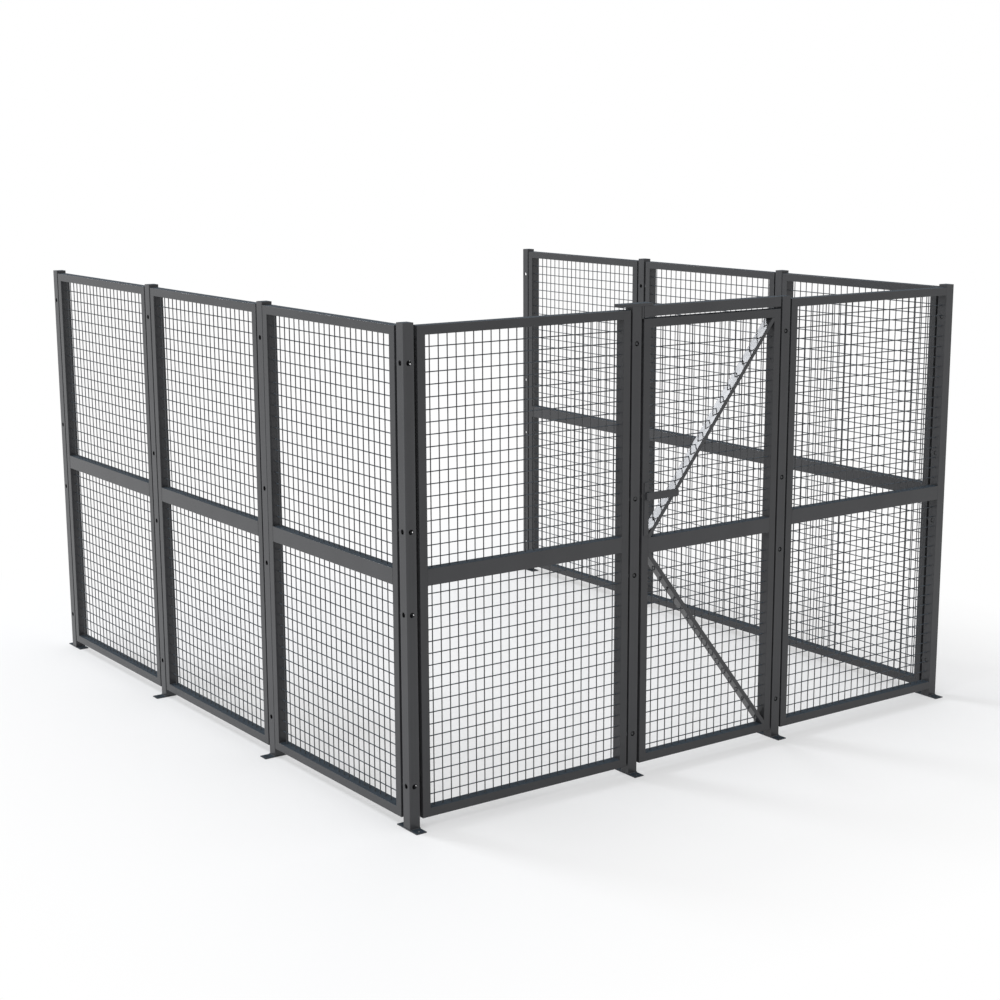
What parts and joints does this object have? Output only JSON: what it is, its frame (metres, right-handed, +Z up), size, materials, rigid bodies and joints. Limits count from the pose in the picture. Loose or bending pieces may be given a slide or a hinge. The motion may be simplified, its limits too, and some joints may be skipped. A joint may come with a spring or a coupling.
{
  "type": "wire mesh partition with door",
  "caption": "Free-standing three-sided partition of welded wire mesh panels in tube frames on floor posts, with a hinged mesh door and lever latch in front.",
  "frame": {"origin": "middle of the footprint, at floor level", "axes": "+Z up, +X along the front wall towards its hinge side, +Y from the front wall towards the open back"},
  "size_m": [3.318, 3.648, 2.1272],
  "materials": {
    "coated_tube": "satin dark charcoal powder coat on steel tube and plate",
    "coated_wire": "satin dark charcoal powder coat on welded wire",
    "zinc_steel": "dull zinc-plated steel"
  },
  "bodies": {
    "partition": {"post_front_1": "coated_tube", "post_front_2": "coated_tube", "post_front_3": "coated_tube", "post_front_4": "coated_tube", "post_left_1": "coated_tube", "post_left_2": "coated_tube", "post_left_3": "coated_tube", "post_right_1": "coated_tube", "post_right_2": "coated_tube", "post_right_3": "coated_tube", "foot_plate_front_1": "coated_tube", "foot_plate_front_2": "coated_tube", "foot_plate_front_3": "coated_tube", "foot_plate_front_4": "coated_tube", "foot_plate_left_1": "coated_tube", "foot_plate_left_2": "coated_tube", "foot_plate_left_3": "coated_tube", "foot_plate_right_1": "coated_tube", "foot_plate_right_2": "coated_tube", "foot_plate_right_3": "coated_tube", "post_caps": "coated_tube", "panel_frame_front_1": "coated_tube", "panel_frame_front_2": "coated_tube", "panel_frame_left_1": "coated_tube", "panel_frame_left_2": "coated_tube", "panel_frame_left_3": "coated_tube", "panel_frame_right_1": "coated_tube", "panel_frame_right_2": "coated_tube", "panel_frame_right_3": "coated_tube", "panel_mesh_front_1": "coated_wire", "panel_mesh_front_2": "coated_wire", "panel_mesh_left_1": "coated_wire", "panel_mesh_left_2": "coated_wire", "panel_mesh_left_3": "coated_wire", "panel_mesh_right_1": "coated_wire", "panel_mesh_right_2": "coated_wire", "panel_mesh_right_3": "coated_wire", "header": "coated_tube", "header_bracket": "coated_tube", "header_tab": "coated_tube", "hinge_post_leaves": "coated_tube", "hinge_pins": "zinc_steel", "panel_studs": "coated_tube", "panel_spacers": "coated_tube", "through_bolts": "zinc_steel"},
    "door": {"door_frame": "coated_tube", "door_mesh_lower": "coated_wire", "door_mesh_upper": "coated_wire", "door_brace_lower": "coated_tube", "door_brace_upper": "coated_tube", "latch_case": "coated_tube", "hinge_door_leaves": "coated_tube"},
    "lever": {"latch_lever": "coated_tube"},
    "bolt": {"latch_bolt": "zinc_steel"}
  },
  "joints": [
    {"name": "door_swing", "type": "hinge", "parent": "partition", "child": "door", "pos_m": [0.44128, -1.71393, 1.0517], "axis": [0, 0, -1], "range_deg": [0, 110]},
    {"name": "lever_turn", "type": "hinge", "parent": "door", "child": "lever", "pos_m": [-0.34668, -1.77323, 1.276], "axis": [0, 1, 0], "range_deg": [0, 45]},
    {"name": "bolt_slide", "type": "slide", "parent": "door", "child": "bolt", "axis": [-1, 0, 0], "range_m": [0, 0.022]}
  ],
  "couplings": [
    {"joint": "bolt_slide", "follows": "lever_turn", "m_per_rad": 0.028}
  ]
}
